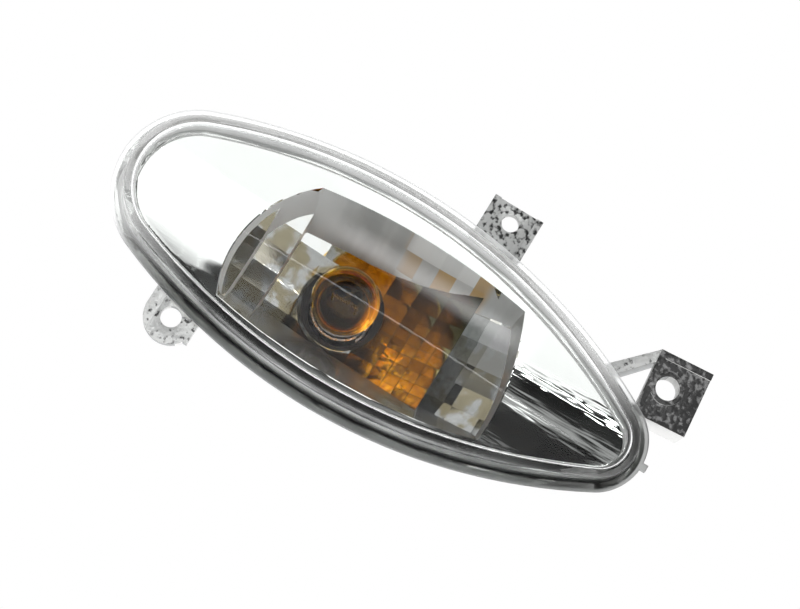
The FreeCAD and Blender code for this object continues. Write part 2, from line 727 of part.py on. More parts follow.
# Bayonet sleeve with two turned slots for the bulb's pins
sleeve_front = f"({CAVITY_FLOOR} - sleeve_length)"
sleeve_tube = turned_body("sleeve_tube", [
    ("sleeve_inner_radius", sleeve_front), (SLEEVE_OUTER, sleeve_front),
    (SLEEVE_OUTER, CAVITY_FLOOR), ("sleeve_inner_radius", CAVITY_FLOOR)])
slot_half = "(pin_radius + slot_clearance)"
slot_cuts = []
for index, side in enumerate((0, 180)):
    start = side + size("slot_start")
    slot_cuts.append(drum(f"slot_turn_{index}", "holder_mouth_radius", f"{PIN_PLANE} - {slot_half}",
                          f"{PIN_PLANE} + {slot_half}", angle="slot_turn", start_angle=start))
    slot_cuts.append(drum(f"slot_entry_{index}", "holder_mouth_radius", f"{sleeve_front} - slot_clearance",
                          f"{PIN_PLANE} + {slot_half}", angle="slot_entry_turn",
                          start_angle=start + size("slot_turn - slot_entry_turn")))
node("socket_sleeve", cut("sleeve_solid", sleeve_tube, fuse("sleeve_slots", slot_cuts)))

# Sprung contact
node("contact_plate", turned_body("plate_disc", [
    ("plunger_stem_radius + contact_plate_clearance", PLATE_FRONT), ("contact_plate_radius", PLATE_FRONT),
    ("contact_plate_radius", PLATE_BACK), ("plunger_stem_radius + contact_plate_clearance", PLATE_BACK)]))
node("contact_plunger", turned_body("plunger", [
    ("0", BULB_END), ("plunger_head_radius", BULB_END), ("plunger_head_radius", PLATE_FRONT),
    ("plunger_stem_radius", PLATE_FRONT), ("plunger_stem_radius", PLATE_BACK),
    ("plunger_flange_radius", PLATE_BACK), ("plunger_flange_radius", PLUNGER_BACK), ("0", PLUNGER_BACK)]))


def coil(name, radius, wire, height, turns, turn):
    """A coiled wire: a round section carried along a helix."""
    path = doc.addObject("Part::Helix", f"{name}_path")
    bind(path, "Radius", radius)
    bind(path, "Height", height)
    bind(path, "Pitch", f"({height}) / ({turns})")
    section = doc.addObject("Part::Circle", f"{name}_section")
    bind(section, "Radius", wire)
    section.Placement = Placement(Vector(size(radius), 0, 0), FACING_FRONT)
    bind(section, "Placement.Base.x", radius)
    doc.recompute()
    sweep = doc.addObject("Part::Sweep", name)
    sweep.Sections = [section]
    sweep.Spine = (path, [f"Edge{index + 1}" for index in range(len(path.Shape.Edges))])
    sweep.Solid = True
    sweep.Frenet = True
    sweep.Placement = Placement(Vector(0, 0, 0), turn)
    return sweep


spring = coil("spring", "spring_radius", "spring_wire_radius", "spring_length - 2 * spring_wire_radius",
              "spring_turns", ALONG_Y)
bind(spring, "Placement.Base.y", f"{PLUNGER_BACK} + spring_wire_radius")
node("contact_spring", spring)

# Terminals
foot = drum("live_foot", "contact_foot_radius", FOOT_FRONT, CAVITY_FLOOR)
live = fuse("live_blank", [foot, blade("live_blade", FOOT_FRONT, live_low, "0")])
earth = blade("earth_blade", earth_front, earth_low, "0")
hole_depth = f"{BLADE_END} - blade_hole_setback"
for name, blank, low in (("live_terminal", live, live_low), ("earth_terminal", earth, earth_low)):
    hole = doc.addObject("Part::Cylinder", f"{name}_hole")
    bind(hole, "Radius", "blade_hole_radius")
    bind(hole, "Height", "blade_thickness * 3")
    at(hole, y=hole_depth, z=f"{low} - blade_thickness")
    node(name, cut(f"{name}_solid", blank, hole))

# Bulb glass: a globe and a neck, one even wall
neck_inner = "(glass_neck_radius - glass_wall)"
globe_inner = "(globe_radius - glass_wall)"


def globe_arc(radius, neck_radius):
    """Half of the globe's circle, from its front pole to where the neck begins."""
    reach = math.sqrt(size(radius) ** 2 - size(neck_radius) ** 2)
    circle = Part.Circle(Vector(0, size(GLOBE_CENTRE), 0), Vector(0, 0, 1), size(radius))
    return Part.ArcOfCircle(circle, -math.pi / 2, math.atan2(reach, size(neck_radius)))


def glass_body(name):
    body = doc.addObject("PartDesign::Body", name)
    profile = body_sketch(body, "XY_Plane", f"{name}_profile")
    outer_arc = globe_arc("globe_radius", "glass_neck_radius")
    inner_arc = globe_arc(globe_inner, neck_inner)
    outer_foot = Vector(size("glass_neck_radius"), size(GLASS_END), 0)
    inner_foot = Vector(size(neck_inner), size(GLASS_END), 0)
    outside = profile.addGeometry(outer_arc)
    outer_neck = profile.addGeometry(Part.LineSegment(outer_arc.EndPoint, outer_foot))
    foot_ring = profile.addGeometry(Part.LineSegment(outer_foot, inner_foot))
    inner_neck = profile.addGeometry(Part.LineSegment(inner_foot, inner_arc.EndPoint))
    inside = profile.addGeometry(inner_arc)
    tip_wall = profile.addGeometry(Part.LineSegment(inner_arc.StartPoint, outer_arc.StartPoint))
    for first, second in ((outside, outer_neck), (outer_neck, foot_ring), (foot_ring, inner_neck)):
        profile.addConstraint(Sketcher.Constraint("Coincident", first, 2, second, 1))
    profile.addConstraint(Sketcher.Constraint("Coincident", inner_neck, 2, inside, 2))
    profile.addConstraint(Sketcher.Constraint("Coincident", inside, 1, tip_wall, 1))
    profile.addConstraint(Sketcher.Constraint("Coincident", tip_wall, 2, outside, 1))
    for arc, radius in ((outside, "globe_radius"), (inside, globe_inner)):
        pin_point(profile, arc, 3, "0", GLOBE_CENTRE)
        fix(profile, "Radius", (arc,), radius)
        profile.addConstraint(Sketcher.Constraint("PointOnObject", arc, 1, -2))
    pin_point(profile, outer_neck, 2, "glass_neck_radius", GLASS_END)
    pin_point(profile, foot_ring, 2, neck_inner, GLASS_END)
    profile.addConstraint(Sketcher.Constraint("Vertical", outer_neck))
    profile.addConstraint(Sketcher.Constraint("Vertical", inner_neck))
    return revolve(body, profile)


node("bulb_glass", glass_body("globe"))

# Bulb cap with its pins, insulator and end contact
cap_inner = "(cap_radius - cap_wall)"
cap_shell = turned_body("cap_shell", [
    (cap_inner, CAP_FRONT), ("cap_radius", CAP_FRONT), ("cap_radius", CAP_END),
    ("cap_end_hole_radius", CAP_END), ("cap_end_hole_radius", f"{CAP_END} - cap_wall"),
    (cap_inner, f"{CAP_END} - cap_wall")])


def pin(name, side):
    bar = doc.addObject("Part::Cylinder", name)
    bind(bar, "Radius", "pin_radius")
    bind(bar, "Height", "cap_wall + pin_reach")
    return at(bar, x=f"{side} * {cap_inner}", y=PIN_PLANE, turn=Rotation(Vector(0, 1, 0), 90 * side))


pins = doc.addObject("Part::Compound", "pins")
pins.Links = [pin("pin_tip_side", 1), pin("pin_big_side", -1)]
node("bulb_cap", cut("cap_solid", cap_shell, pins))
node("bulb_locking_pins", pins)
node("bulb_insulator", turned_body("insulator", [
    ("0", f"{CAP_END} - cap_wall"), ("cap_end_hole_radius", f"{CAP_END} - cap_wall"),
    ("cap_end_hole_radius", CAP_END), ("insulator_base_radius", CAP_END),
    ("insulator_top_radius", INSULATOR_END), ("0", INSULATOR_END)]))
node("bulb_end_contact", turned_body("end_contact", [
    ("0", INSULATOR_END), ("end_contact_radius", INSULATOR_END),
    ("end_contact_flat", BULB_END), ("0", BULB_END)]))

# Stem, supports and filament
flare = turned_body("flare", [
    ("0", STEM_THROAT), ("stem_throat_radius", STEM_THROAT), (neck_inner, GLASS_END),
    ("glass_neck_radius", GLASS_END), ("glass_neck_radius", f"{GLASS_END} + stem_disc_thickness"),
    ("0", f"{GLASS_END} + stem_disc_thickness")])
pinch = box("pinch", ("-pinch_width / 2", PINCH_FRONT, "-pinch_thickness / 2"),
            ("pinch_width / 2", STEM_THROAT, "pinch_thickness / 2"))
node("glass_stem", fuse("stem_solid", [flare, pinch]))
supports = doc.addObject("Part::Compound", "supports")
supports.Links = [drum(f"support_{index}", "support_radius", f"{GLOBE_CENTRE} - filament_radius",
                       PINCH_FRONT, x=f"{side} * support_spread / 2") for index, side in enumerate((1, -1))]
node("filament_supports", supports)
coil_length = "(support_spread - 2 * support_radius - 2 * filament_wire_radius)"
filament = coil("filament_coil", "filament_radius - filament_wire_radius", "filament_wire_radius",
                coil_length, "filament_turns", Rotation(Vector(0, 1, 0), 90))
at(filament, x=f"-{coil_length} / 2", y=GLOBE_CENTRE)
node("filament", filament)

# Check everything, then write one file for each piece
doc.recompute()
for item in doc.Objects:
    if "Invalid" in item.State or "Error" in item.State:
        raise RuntimeError(f"{item.Name} failed: {item.State}")
for item in NODES:
    if item.Shape.isNull() or not item.Shape.isValid() or not item.Shape.Solids:
        raise RuntimeError(f"{item.Label} is not a valid solid")
os.makedirs("parts", exist_ok=True)
for item in NODES:
    item.Shape.exportStep(f"parts/{item.Label}.step")
    limits = item.Shape.BoundBox
    print(f"{item.Label}: {len(item.Shape.Solids)} solid, volume {item.Shape.Volume:.1f}, "
          f"x {limits.XMin:.2f} {limits.XMax:.2f}, y {limits.YMin:.2f} {limits.YMax:.2f}, "
          f"z {limits.ZMin:.2f} {limits.ZMax:.2f}")
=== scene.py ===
import math
import bmesh
import bpy
import numpy as np
from mathutils import Matrix, Vector


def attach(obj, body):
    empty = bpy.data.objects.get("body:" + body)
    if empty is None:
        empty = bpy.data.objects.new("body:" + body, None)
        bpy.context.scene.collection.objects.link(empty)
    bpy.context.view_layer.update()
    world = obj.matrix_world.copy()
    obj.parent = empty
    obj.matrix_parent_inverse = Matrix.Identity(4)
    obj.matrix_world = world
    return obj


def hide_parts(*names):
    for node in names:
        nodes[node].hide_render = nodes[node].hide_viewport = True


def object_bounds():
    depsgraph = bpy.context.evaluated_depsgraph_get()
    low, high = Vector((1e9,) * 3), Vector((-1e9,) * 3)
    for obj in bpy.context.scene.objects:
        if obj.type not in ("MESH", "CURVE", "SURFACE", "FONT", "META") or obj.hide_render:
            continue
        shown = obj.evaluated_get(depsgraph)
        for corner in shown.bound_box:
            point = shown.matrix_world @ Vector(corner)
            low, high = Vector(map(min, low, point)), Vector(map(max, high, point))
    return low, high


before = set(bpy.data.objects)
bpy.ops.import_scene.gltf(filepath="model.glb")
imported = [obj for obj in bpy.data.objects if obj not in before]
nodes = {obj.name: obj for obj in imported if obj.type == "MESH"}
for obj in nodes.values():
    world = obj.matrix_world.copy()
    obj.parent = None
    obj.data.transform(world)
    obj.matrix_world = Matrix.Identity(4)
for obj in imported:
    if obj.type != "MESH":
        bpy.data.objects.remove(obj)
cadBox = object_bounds()
scene = bpy.context.scene
mm = 0.001
print("frame:", len(nodes), "nodes")

# Camera, a little under the lens axis and rolled so that the tip points down to the right
viewpoint = {
    "target": (13.0, -4.0, 2.5),   # mm
    "distance": 600.0,
    "below": 11.8,                 # degrees
    "aside": -1.5,
    "roll": 31.8,
    "lens": 108.2,
    "clip": (0.01, 50.0),          # metres
}


def addCamera(v):
    down, aside, roll = (math.radians(v[k]) for k in ("below", "aside", "roll"))
    look = Vector((math.sin(aside) * math.cos(down), math.cos(aside) * math.cos(down), math.sin(down)))
    right = look.cross(Vector((0, 0, 1))).normalized()
    up = right.cross(look)
    rolledRight = right * math.cos(roll) + up * math.sin(roll)
    rolledUp = up * math.cos(roll) - right * math.sin(roll)
    camera = bpy.data.objects.new("camera", bpy.data.cameras.new("camera"))
    scene.collection.objects.link(camera)
    turn = Matrix((rolledRight, rolledUp, -look)).transposed().to_4x4()
    place = (Vector(v["target"]) - look * v["distance"]) * mm
    camera.matrix_world = Matrix.Translation(place) @ turn
    camera.data.lens = v["lens"]
    camera.data.clip_start, camera.data.clip_end = v["clip"]
    scene.camera = camera


addCamera(viewpoint)


# Shader nodes: sockets are linked where a socket is given, and set where a number is
def addNode(tree, kind, inputs=None, **settings):
    made = tree.nodes.new("ShaderNode" + kind)
    for name, setting in settings.items():
        setattr(made, name, setting)
    for socket, source in (inputs or {}).items():
        if isinstance(source, bpy.types.NodeSocket):
            tree.links.new(source, made.inputs[socket])
        else:
            made.inputs[socket].default_value = source
    return made


def maths(tree, operation, first, second=0.0):
    return addNode(tree, "Math", {0: first, 1: second}, operation=operation).outputs[0]


# One sum, product or largest value of several sources
def gather(tree, operation, first, *others):
    for other in others:
        first = maths(tree, operation, first, other)
    return first


def times(tree, *sources):
    return gather(tree, "MULTIPLY", *sources)


# A smooth step: low up to the start, high from the end
def fade(tree, source, start, end, low, high):
    made = addNode(tree, "MapRange", {"Value": source, "From Min": start, "From Max": end,
                                      "To Min": low, "To Max": high}, interpolation_type="SMOOTHSTEP")
    return made.outputs["Result"]


# The same over a span in mm
def fadeMm(tree, source, span, low=0.0, high=1.0):
    return fade(tree, source, span[0] * mm, span[1] * mm, low, high)


# A hump in mm: rises between the first two places and falls between the last two
def hump(tree, source, places):
    return times(tree, fadeMm(tree, source, places[:2]), fadeMm(tree, source, places[2:], 1.0, 0.0))


def attribute(tree, name):
    return addNode(tree, "Attribute", attribute_name=name).outputs["Fac"]


# X, Y and Z of a place on the piece, in metres
def placeOn(tree):
    return addNode(tree, "SeparateXYZ", {0: addNode(tree, "TexCoord").outputs["Object"]}).outputs


# Links sources to the shader's sockets, whose names have _ for a space
def wire(tree, shader, **sources):
    for socket, source in sources.items():
        tree.links.new(source, shader.inputs[socket.replace("_", " ")])


# Studio: a white room with soft dark patches and light strips, given as directions from the lamp in degrees,
# round towards the tip (+) or the big end (-), and up
studio = {
    "floorDrop": 0.30,        # metres under the lamp
    "floorSize": 6.0,
    "floorTone": 0.92,
    "floorRoughness": 0.7,
    "floorGlow": 0.3,
    "power": 1.25,
    "darkPatches": [
        {"round": -30, "up": 18, "inner": 28, "outer": 30, "tone": 0.02},
        {"round": -22, "up": 44, "inner": 19.9, "outer": 20.4, "tone": 0.01},
        {"round": -22, "up": 34, "inner": 21.9, "outer": 22.4, "tone": 0.01},
        {"round": -72, "up": -18, "inner": 28, "outer": 38, "tone": 0.32},
        {"round": 30, "up": 14, "inner": 16, "outer": 20, "tone": 0.12},
        {"round": 32, "up": 45, "inner": 16, "outer": 24, "tone": 0.25},
        {"round": -9, "up": 1.5, "inner": 2, "outer": 6, "tone": 0.5},
    ],
    "stripInner": 0.6,        # share of a strip's reach that has its full power
    "flag": {"round": -64, "up": -16, "away": 0.5, "half": 0.19, "tone": 0.25, "roughness": 0.9},
    "strips": [
        {"up": 18, "half": 1.4, "round": 20, "reach": 21, "power": 0.4},
        {"up": 14, "half": 5.5, "round": -10, "reach": 11, "power": 0.36},
        {"up": 16, "half": 1.0, "round": -7.5, "reach": 2.5, "power": 1.2},
        {"up": 38, "half": 3.0, "round": -10, "reach": 3, "power": 0.15},
        {"up": -1, "half": 0.5, "round": 0, "reach": 40, "power": 13.0},
    ],
}


def direction(roundTurn, up):
    a, e = math.radians(roundTurn), math.radians(up)
    return (math.sin(a) * math.cos(e), -math.cos(a) * math.cos(e), math.sin(e))


# The room's light: its power, times a dark tone within each patch, plus each strip, a band about its height that is
# kept to a round window; the camera itself sees plain white
def addWorld(s):
    world = bpy.data.worlds.new("studio")
    scene.world = world
    world.use_nodes = True
    tree = world.node_tree
    tree.nodes.clear()
    aim = addNode(tree, "TexCoord").outputs["Generated"]
    light = s["power"]

    def near(centre, inner, outer, low, high):
        dot = addNode(tree, "VectorMath", {0: aim, 1: centre}, operation="DOT_PRODUCT").outputs["Value"]
        return fade(tree, dot, math.cos(math.radians(outer)), math.cos(math.radians(inner)), low, high)

    for p in s["darkPatches"]:
        shade = near(direction(p["round"], p["up"]), p["inner"], p["outer"], 1.0, p["tone"])
        light = maths(tree, "MULTIPLY", shade, light)
    height = addNode(tree, "SeparateXYZ", {0: aim}).outputs["Z"]
    for p in s["strips"]:
        away = maths(tree, "ABSOLUTE", maths(tree, "SUBTRACT", height, math.sin(math.radians(p["up"]))))
        band = fade(tree, away, 0.0, math.radians(p["half"]), p["power"], 0.0)
        window = near(direction(p["round"], p["up"]), p["reach"] * s["stripInner"], p["reach"], 0.0, 1.0)
        light = maths(tree, "ADD", times(tree, band, window), light)
    seen = addNode(tree, "LightPath").outputs["Is Camera Ray"]
    white = addNode(tree, "Mix", {0: seen, 2: light, 3: 1.0}).outputs[0]
    back = addNode(tree, "Background", {"Color": (1, 1, 1, 1), "Strength": white})
    addNode(tree, "OutputWorld", {0: back.outputs[0]})


def newMaterial(name, **sockets):
    material = bpy.data.materials.new(name)
    material.use_nodes = True
    shader = material.node_tree.nodes["Principled BSDF"]
    for socket, setting in sockets.items():
        shader.inputs[socket.replace("_", " ")].default_value = setting
    return material, material.node_tree, shader


def addSquare(name, corners, material):
    mesh = bpy.data.meshes.new(name)
    mesh.from_pydata(corners, [], [(0, 1, 2, 3)])
    mesh.materials.append(material)
    square = bpy.data.objects.new(name, mesh)
    scene.collection.objects.link(square)
    return square


def grey(tone):
    return (tone, tone, tone, 1.0)


turns = ((-1, -1), (1, -1), (1, 1), (-1, 1))   # corners of a square, one way round


def addFloor(s):
    half = s["floorSize"] / 2
    z = cadBox[0].z - s["floorDrop"]
    paper = newMaterial("floorPaper", Base_Color=grey(s["floorTone"]), Roughness=s["floorRoughness"],
                        Emission_Color=grey(1.0), Emission_Strength=s["floorGlow"])[0]
    floor = addSquare("floor", [(i * half, j * half, z) for i, j in turns], paper)


# A dark card low on the big end's side, square to the lamp and left out of the camera's view
def addFlag(f):
    aim = Vector(direction(f["round"], f["up"]))
    side = aim.cross(Vector((0, 0, 1))).normalized()
    rise = side.cross(aim)
    corners = [aim * f["away"] + (side * i + rise * j) * f["half"] for i, j in turns]
    cloth = newMaterial("flagCloth", Base_Color=grey(f["tone"]), Roughness=f["roughness"])[0]
    flag = addSquare("flag", corners, cloth)
    flag.visible_camera = False


addFloor(studio)
addFlag(studio["flag"])
addWorld(studio)
scene.view_settings.view_transform = "Standard"
scene.cycles.max_bounces = 24
scene.cycles.glossy_bounces = 14
scene.cycles.transmission_bounces = 20
print("stage: floor, room and camera")


# Grain: a noise stretched by the Stretch input; Height is the noise, Mask its step between Low and High
def grainGroup():
    group = bpy.data.node_groups.new("grain", "ShaderNodeTree")
    for name, kind, start in (("Vector", "NodeSocketVector", None), ("Stretch", "NodeSocketVector", (1, 1, 1)),
                              ("Scale", "NodeSocketFloat", 200.0), ("Detail", "NodeSocketFloat", 4.0),
                              ("Low", "NodeSocketFloat", 0.35), ("High", "NodeSocketFloat", 0.65)):
        socket = group.interface.new_socket(name, in_out="INPUT", socket_type=kind)
        if start is not None:
            socket.default_value = start
    for name in ("Mask", "Height"):
        group.interface.new_socket(name, in_out="OUTPUT", socket_type="NodeSocketFloat")
    given = group.nodes.new("NodeGroupInput").outputs
    stretched = addNode(group, "VectorMath", {0: given["Vector"], 1: given["Stretch"]}, operation="MULTIPLY")
    height = addNode(group, "TexNoise", {"Vector": stretched.outputs[0], "Scale": given["Scale"],
                                         "Detail": given["Detail"]}).outputs["Fac"]
    result = group.nodes.new("NodeGroupOutput")
    group.links.new(fade(group, height, given["Low"], given["High"], 0.0, 1.0), result.inputs["Mask"])
    group.links.new(height, result.inputs["Height"])
    return group


grain = grainGroup()


def placeGrain(tree, scale, low=0.35, high=0.65, stretch=(1, 1, 1), detail=4.0):
    coords = addNode(tree, "TexCoord").outputs["Object"]
    made = tree.nodes.new("ShaderNodeGroup")
    made.node_tree = grain
    tree.links.new(coords, made.inputs["Vector"])
    settings = {"Stretch": stretch, "Scale": scale, "Detail": detail, "Low": low, "High": high}
    for name, setting in settings.items():
        made.inputs[name].default_value = setting
    return made.outputs


def blend(tree, amount, first, second):
    return addNode(tree, "Mix", {0: amount, 6: first, 7: second}, data_type="RGBA").outputs[2]


def colour(r, g, b):
    return (r, g, b, 1.0)


def addBump(tree, height, distance):
    return addNode(tree, "Bump", {"Height": height, "Strength": 1.0, "Distance": distance}).outputs[0]


# A finish whose colour and roughness drift between two values with the grain
def grainedMaterial(name, look):
    material, tree, shader = newMaterial(name, Metallic=look.get("metallic", 0.0))
    patches = placeGrain(tree, look["scale"])
    wire(tree, shader, Base_Color=blend(tree, patches["Mask"], colour(*look["first"]), colour(*look["second"])),
         Roughness=fade(tree, patches["Mask"], 0.0, 1.0, *look["roughness"]))
    if "bump" in look:
        wire(tree, shader, Normal=addBump(tree, patches["Height"], look["bump"] * mm))
    return material


# Outline of the lens in mm: big end and tip are arcs about the middle line, joined by flank arcs
outline = {"bigX": -44.5, "bigR": 22.0, "tipX": 72.0, "tipR": 13.5, "flankR": 152.0}


# How far points lie inside the outline: the arc's radius less the distance to the arc's centre, the arc
# being chosen by the side of the lines from the flank's centre through the end centres
def insetOf(x, z, o):
    toBig, toTip = o["flankR"] - o["bigR"], o["flankR"] - o["tipR"]
    flankX = (toBig ** 2 - toTip ** 2 + o["tipX"] ** 2 - o["bigX"] ** 2) / (2 * (o["tipX"] - o["bigX"]))
    flankZ = -math.sqrt(toBig ** 2 - (flankX - o["bigX"]) ** 2)
    z = np.abs(z)
    besideBig = (o["bigX"] - flankX) * (z - flankZ) + flankZ * (x - flankX) > 0
    besideTip = (o["tipX"] - flankX) * (z - flankZ) + flankZ * (x - flankX) < 0
    centreX = np.where(besideBig, o["bigX"], np.where(besideTip, o["tipX"], flankX))
    centreZ = np.where(besideBig | besideTip, 0.0, flankZ)
    radius = np.where(besideBig, o["bigR"], np.where(besideTip, o["tipR"], o["flankR"]))
    return radius - np.hypot(x - centreX, z - centreZ)


# Reflector and housing: a copy of the solid with its sharp edges rounded, so that they catch the light.
# Places are in mm: x along the lamp, y its depth, z across it
reflector = {
    # edges
    "bevel": 0.30,
    "bevelSteps": 2,
    "sharp": 24,                   # degrees, over which an edge is rounded
    "facetAngle": 2.0,             # the same between two facets
    "mergeReach": 0.002,
    "flatAngle": 0.6,              # degrees, under which faces are joined
    # where faces are, and how they are turned, as parts of their normals
    "lensPoint": (8.0, -5.0),      # x and y, behind the lens
    "edgeOn": 0.3,
    "pocketX": (-37.0, 50.0),
    "pocketY": 5.0,
    "pocketZ": 23.0,
    "wallTurn": 0.6,
    "upperTurn": 0.75,
    "endWallX": -14.0,
    "floorY": 9.0,
    "jointReach": 6.3,             # from the outline
    "jointY": 4.6,
    "earY": 1.0,
    "earReach": 0.7,               # from the outline
    "tipEar": (58.0, 75.0, 9.0),   # x of the arm, x of the plate, z
    "upperEar": 29.0,              # z
    "lowerEar": (-44.0, -25.0, -22.0),   # x from and to, z
    # plain faces
    "mirror": (0.885, 0.905, 0.885),
    "mirrorRoughness": 0.03,
    "bare": (0.80, 0.80, 0.79),
    "bareRoughness": 0.55,
    "back": (0.43, 0.44, 0.44),
    "backLow": (0.35, 0.36, 0.36),
    "backRoughness": 0.45,
    # waves of the dish
    "waveScale": 420.0,
    "waveStretch": (0.06, 1.0, 1.0),
    "waveDetail": 2.0,
    "waveDepth": 0.10,
    "waveSpan": (15.0, 45.0),      # x, over which the waves grow to their full depth
    "bigWaveDepth": 0.018,
    "bigWaveSpan": (-48.0, -26.0),
    # crowns of the facets
    "cell": (7.5, 6.0),
    "cellStart": (0.0, -2.5),
    "bigEndShift": 3.75,
    "pillow": (0.11, 0.08),
    "peelScale": 380.0,
    "peelDepth": 0.02,
    # tones of the facets, as shares of the light that they give back; they paint light and dark reflections into
    # the mirror's colour
    "toneSeed": 5,
    "toneGrid": 40,
    "toneBias": 1.3,
    "toneRange": (0.26, 0.95),     # away from the bulb
    "bulbSide": 17.0,              # x either side of the bulb, where a draw counts less, so that the facets there are painted darker
    "bulbSideShare": 0.2,
    "spread": (0.70, 0.60),        # least share of a rise, and what a draw adds to it
    "amberSpan": (7.0, 28.5),      # x of the facets that mirror the bulb
    "amberRise": ((-9.0, 2.0, 9.0), (0.57, 0.38, 0.14)),   # z, and the painted reflection tone there
    "farRise": ((-12.0, -2.0, 6.0), (0.30, 0.55, 0.95)),   # the same, past them
    "topRow": (-8.0, 8.0),         # x and z, from which the big end's facets are painted bright
    "collar": 13.0,                # round the bulb, where the faces are painted darker
    "collarTone": 0.3,
    # painted reflection tone of the lower wall
    "lowerWall": 0.75,
    # painted reflection of the amber bulb on the facets that mirror it
    "paintedBulbReflection": (0.885, 0.81, 0.40),
    "small": (3.75, 3.0),          # small painted facets that mirror the bulb, drawn only in the colour
    "smallRange": (0.50, 1.25),
    "smallEdge": (0.44, 0.48),     # share of a small facet's width from its middle
    "smallLine": 0.55,
    "olive": (0.48, 0.36, 0.08),
    "oliveScale": 170.0,
    "oliveEdge": (0.42, 0.54),
    # walls
    "tipSatin": 0.8,
    "lowerSatin": 0.4,
    "satinRoughness": 0.35,
    "satin": (0.44, 0.45, 0.44),
    "satinLight": (0.58, 0.59, 0.58),
    "bandScale": 140.0,
    "bandStretch": (1.0, 0.15, 0.15),
    # painted light: the big end of the wall painted lighter, and the pale highlight blocks
    "wallPaintedLight": (0.80, 0.81, 0.80),
    "wallPaintedLightSpan": (-26.0, -4.0),
    # painted amber reflection of the bulb on the upper wall
    "wallPaintedBulbReflection": (0.56, 0.38, 0.18),
    "blockSpan": (5.0, 9.0, 29.0, 32.0),   # x of the upper wall's painted amber reflection and pale highlight blocks
    "blockStart": (1.5, 1.0),
    "block": (5.0, 3.6),
    "bulbReflectionBlock": (0.60, 0.66),    # draws over which a block is painted with the bulb's amber reflection
    "highlightBlock": (0.18, 0.22),     # and under which it is painted with a pale highlight
    # ears, a higher level being darker
    "earLevels": {"tip": 0.78, "arm": 0.1, "upper": 0.34, "lower": 0.12},
    "earLeast": 0.05,
    "earScale": 760.0,
    "earDepth": 0.22,
    "earShift": 0.30,
    "earDull": 0.85,
    "earDark": (0.055, 0.055, 0.055),
    "earLight": (0.78, 0.79, 0.78),
    "earMid": (0.30, 0.30, 0.30),
    "earMidFrom": (0.4, 0.8),
    "earEdge": (0.58, 0.74),
}


def mergedCopy(node, name, r):
    mesh = nodes[node].data.copy()
    mesh.name = name
    mesh.materials.clear()
    work = bmesh.new()
    work.from_mesh(mesh)
    bmesh.ops.remove_doubles(work, verts=work.verts, dist=r["mergeReach"] * mm)
    bmesh.ops.dissolve_limit(work, angle_limit=math.radians(r["flatAngle"]), verts=work.verts, edges=work.edges)
    work.to_mesh(mesh)
    work.free()
    piece = bpy.data.objects.new(name, mesh)
    scene.collection.objects.link(piece)
    return piece


# Level of each ear's front faces by where they stand, and 0 elsewhere
def earMarks(x, z, front, r):
    level = r["earLevels"]
    armX, plateX, tipZ = r["tipEar"]
    lowerFrom, lowerTo, lowerZ = r["lowerEar"]
    marks = np.where(front & (x > armX) & (z > tipZ), np.where(x > plateX, level["tip"], level["arm"]), 0.0)
    marks = np.where(front & (x < armX) & (z > r["upperEar"]), level["upper"], marks)
    return np.where(front & (x > lowerFrom) & (x < lowerTo) & (z < lowerZ), level["lower"], marks)


# Painted reflection tone of each face by its facet's draw: a share of the rise across the lamp for facets that
# mirror the bulb and for those past them, and a tone within the range, lower beside the bulb, for the others
def paintedReflectionTones(x, z, r):
    column = np.floor(x / r["cell"][0]).astype(int) + r["toneGrid"] // 2
    row = np.floor((z - r["cellStart"][1]) / r["cell"][1]).astype(int) + r["toneGrid"] // 2
    draws = np.random.default_rng(r["toneSeed"]).random((r["toneGrid"], r["toneGrid"])) ** r["toneBias"]
    drawn = draws[column, row]
    low, high = r["toneRange"]
    amberFrom, amberTo = r["amberSpan"]
    share = r["spread"][0] + r["spread"][1] * drawn
    own = low + (high - low) * drawn * np.where(np.abs(x) < r["bulbSide"], r["bulbSideShare"], 1.0)
    own = np.where(x > amberFrom, np.interp(z, *r["amberRise"]) * share, own)
    return np.where(x > amberTo, np.interp(z, *r["farRise"]) * share, own)


# Weighs the edges to be rounded: those where two faces turn by more than the least angle
def weighEdges(mesh, normal, facets, r):
    edgeOf = np.zeros(len(mesh.loops), dtype=np.int32)
    mesh.loops.foreach_get("edge_index", edgeOf)
    corners = np.zeros(len(mesh.polygons), dtype=np.int32)
    mesh.polygons.foreach_get("loop_total", corners)
    faceOf = np.repeat(np.arange(len(mesh.polygons)), corners)
    order = np.argsort(edgeOf, kind="stable")
    edge, face = edgeOf[order], faceOf[order]
    pair = np.nonzero(edge[1:] == edge[:-1])[0]
    first, second = face[pair], face[pair + 1]
    turn = np.degrees(np.arccos(np.clip((normal[first] * normal[second]).sum(axis=1), -1, 1)))
    least = np.where(facets[first] & facets[second], r["facetAngle"], r["sharp"])
    weight = np.zeros(len(mesh.edges), dtype=np.float32)
    weight[edge[pair]] = turn > least
    mesh.attributes.new("bevel_weight_edge", "FLOAT", "EDGE").data.foreach_set("value", weight)
